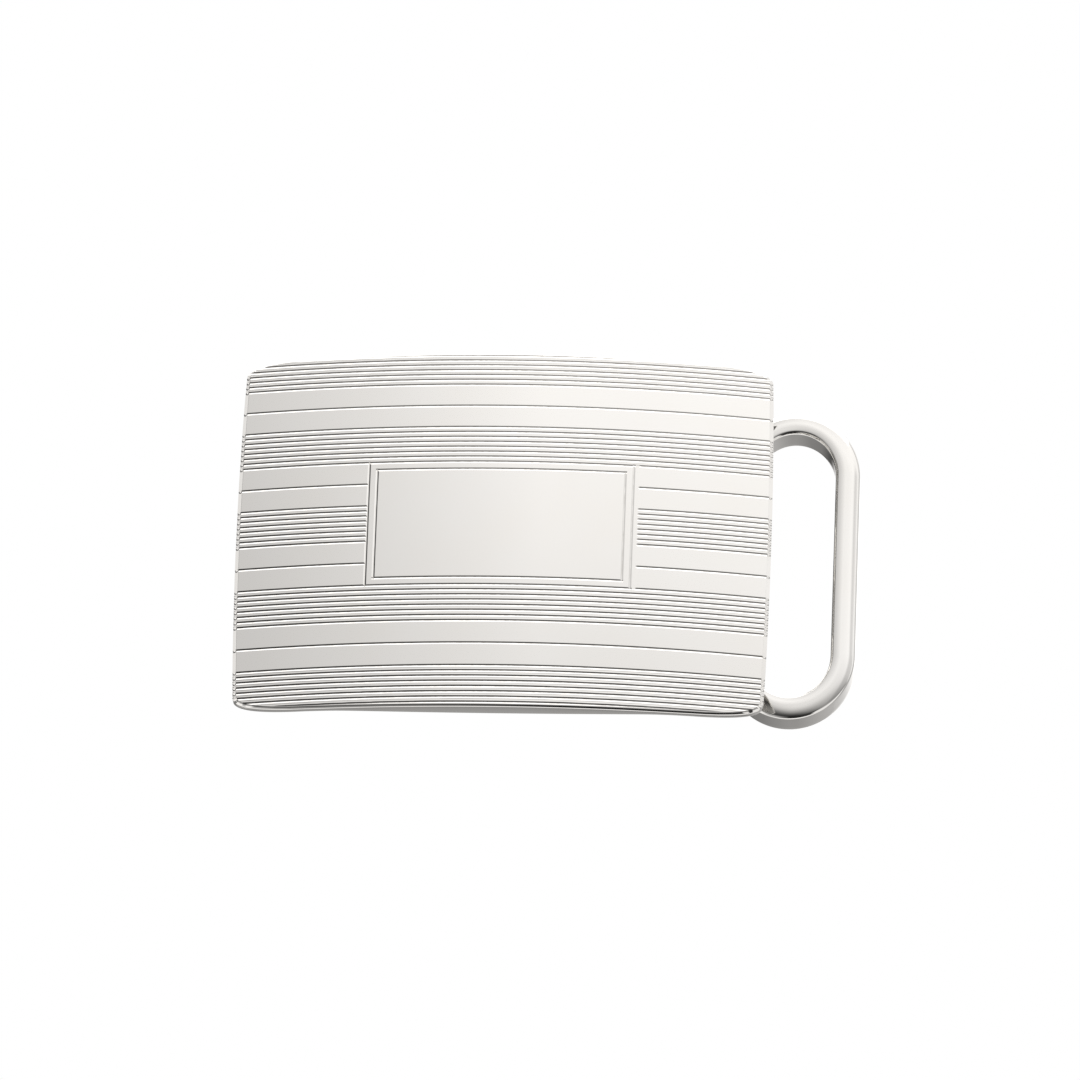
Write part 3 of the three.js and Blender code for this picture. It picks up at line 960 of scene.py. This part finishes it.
# Between which values of the direction's X one side's brightness gives way to the next.
FAR_LEFT_TO_LEFT = (-0.66, -0.5)
LEFT_TO_MIDDLE = (-0.37, 0.0)
MIDDLE_TO_RIGHT = (0.1, 0.55)
RIGHT_TO_FAR_RIGHT = (0.5, 0.6)
WARM_LIGHT = (1, 0.985, 0.975)


def studio_turn(nodes, links, direction):
    """A direction's pitch round the X axis, as 0 to 1 for -180 to 180 degrees."""
    flip = nodes.new("ShaderNodeMath")
    flip.operation = "MULTIPLY"
    flip.inputs[1].default_value = -1
    links.new(direction.outputs["Y"], flip.inputs[0])
    pitch = add_math(nodes, links, "ARCTAN2", direction.outputs["Z"], flip.outputs["Value"])
    return add_range(nodes, links, pitch, -math.pi, math.pi)


def studio_ramp(nodes, links, turn, levels):
    ramp = nodes.new("ShaderNodeValToRGB")
    stops = ramp.color_ramp.elements
    while len(stops) < len(levels):
        stops.new(0.5)
    for stop, (angle, level) in zip(stops, levels):
        stop.position = (angle + 180) / 360
        stop.color = (*(level * tint for tint in WARM_LIGHT), 1)
    links.new(turn, ramp.inputs["Fac"])
    return ramp.outputs["Color"]


def studio_colour(nodes, links):
    """The studio's colour in each direction, from its pitch and its side."""
    direction = nodes.new("ShaderNodeSeparateXYZ")
    links.new(nodes.new("ShaderNodeTexCoord").outputs["Generated"], direction.inputs[0])
    turn = studio_turn(nodes, links, direction)

    def blend(low, high, span):
        share = add_range(nodes, links, direction.outputs["X"], *span)
        return add_mix(nodes, links, share, low, high)

    far_left, left, middle, right, far_right = (
        studio_ramp(nodes, links, turn, levels)
        for levels in (FAR_LEFT_LEVELS, LEFT_LEVELS, MIDDLE_LEVELS, RIGHT_LEVELS, FAR_RIGHT_LEVELS)
    )
    left_half = blend(blend(far_left, left, FAR_LEFT_TO_LEFT), middle, LEFT_TO_MIDDLE)
    return blend(left_half, blend(right, far_right, RIGHT_TO_FAR_RIGHT), MIDDLE_TO_RIGHT)


def build_world():
    """A soft studio all round, which shows in reflections. Behind the buckle itself it is plain white."""
    world = bpy.data.worlds.new("studio")
    bpy.context.scene.world = world
    world.use_nodes = True
    nodes, links = world.node_tree.nodes, world.node_tree.links
    nodes.clear()
    studio = nodes.new("ShaderNodeBackground")
    links.new(studio_colour(nodes, links), studio.inputs["Color"])
    seen = nodes.new("ShaderNodeBackground")
    seen.inputs["Color"].default_value = (1, 1, 1, 1)
    choose = nodes.new("ShaderNodeMixShader")
    links.new(nodes.new("ShaderNodeLightPath").outputs["Is Camera Ray"], choose.inputs["Fac"])
    links.new(studio.outputs["Background"], choose.inputs[1])
    links.new(seen.outputs["Background"], choose.inputs[2])
    output = nodes.new("ShaderNodeOutputWorld")
    links.new(choose.outputs["Shader"], output.inputs["Surface"])


FLOOR_REACH = 3.0
FLOOR_LEVEL = -1.1


def build_floor():
    mesh = bpy.data.meshes.new("floor")
    corners = [
        (side_x * FLOOR_REACH, side_y * FLOOR_REACH, FLOOR_LEVEL)
        for side_x, side_y in ((-1, -1), (1, -1), (1, 1), (-1, 1))
    ]
    mesh.from_pydata(corners, [], [(0, 1, 2, 3)])
    material, _, _, shader = new_material("floor_paint")
    shader.inputs["Base Color"].default_value = (0.93, 0.93, 0.925, 1)
    shader.inputs["Roughness"].default_value = 0.8
    mesh.materials.append(material)
    floor = bpy.data.objects.new("floor", mesh)
    bpy.context.collection.objects.link(floor)
    floor.visible_glossy = False


def build_light():
    lamp = bpy.data.lights.new("overhead_softbox", "AREA")
    lamp.shape = "RECTANGLE"
    lamp.size, lamp.size_y = 1.4, 1.0
    lamp.energy = 4
    softbox = bpy.data.objects.new("overhead_softbox", lamp)
    softbox.location = (0.1, -0.2, 1.2)
    bpy.context.collection.objects.link(softbox)


# The camera's place, in degrees and metres, and what its picture takes in: the picture's width in
# metres, and how far its middle lies from the middle of the engraving, in millimetres.
CAMERA_ELEVATION = -28
CAMERA_AZIMUTH = 3.13
CAMERA_ROLL = 2.16
CAMERA_DISTANCE = 1.843
VIEW_WIDTH = 0.10467
VIEW_CENTRE_RIGHT = 3.61
VIEW_CENTRE_DOWN = 1.70


def build_camera():
    elevation, azimuth, roll = map(math.radians, (CAMERA_ELEVATION, CAMERA_AZIMUTH, CAMERA_ROLL))
    back = Vector((
        math.sin(azimuth) * math.cos(elevation),
        -math.cos(azimuth) * math.cos(elevation),
        math.sin(elevation),
    ))
    level_right = Vector((math.cos(azimuth), math.sin(azimuth), 0))
    level_up = back.cross(level_right)
    right = math.cos(roll) * level_right + math.sin(roll) * level_up
    up = back.cross(right)
    target = Vector((0, APEX_Y, ENGRAVING_Z)) + VIEW_CENTRE_RIGHT * right - VIEW_CENTRE_DOWN * up
    data = bpy.data.cameras.new("camera")
    data.lens = data.sensor_width * CAMERA_DISTANCE / VIEW_WIDTH
    data.clip_end = 20
    camera = bpy.data.objects.new("camera", data)
    turn = Matrix((right, up, back)).transposed().to_4x4()
    camera.matrix_world = Matrix.Translation(target * MM + back * CAMERA_DISTANCE) @ turn
    bpy.context.collection.objects.link(camera)
    bpy.context.scene.camera = camera


build_world()
build_floor()
build_light()
build_camera()
bpy.context.scene.view_settings.view_transform = "Standard"
